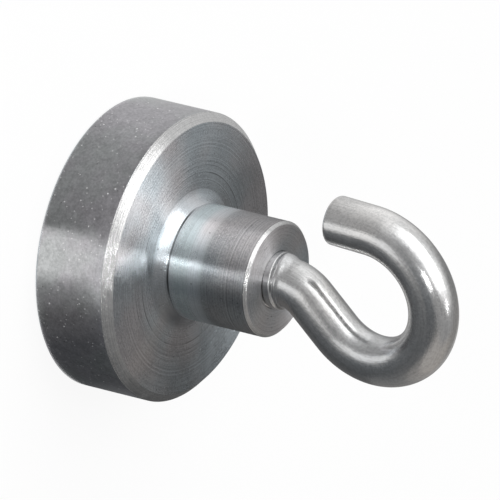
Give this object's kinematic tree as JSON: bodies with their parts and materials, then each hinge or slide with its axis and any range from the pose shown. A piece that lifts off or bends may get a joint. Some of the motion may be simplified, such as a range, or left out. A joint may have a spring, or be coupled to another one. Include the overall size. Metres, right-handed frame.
{
  "type": "pot magnet",
  "caption": "Round steel pot magnet with a tapped boss and a screwed-in open wire hook, for hanging light things from a steel surface.",
  "frame": {"origin": "centre of the magnet face, on the plane of the pot's rim", "axes": "+Z along the pot's axis, away from the magnet face and towards the hook; the hook lies in the XZ plane with its mouth towards -X"},
  "size_m": [0.02, 0.02, 0.0271],
  "materials": {
    "pot_steel": "turned steel with a satin galvanised surface and fine lathe marks",
    "magnet_plating": "satin nickel plating",
    "potting_resin": "cast black epoxy resin",
    "hook_wire": "bright zinc-plated round wire"
  },
  "bodies": {
    "root": {"pot": "pot_steel", "magnet": "magnet_plating", "resin_ring": "potting_resin", "hook": "hook_wire"}
  },
  "joints": []
}
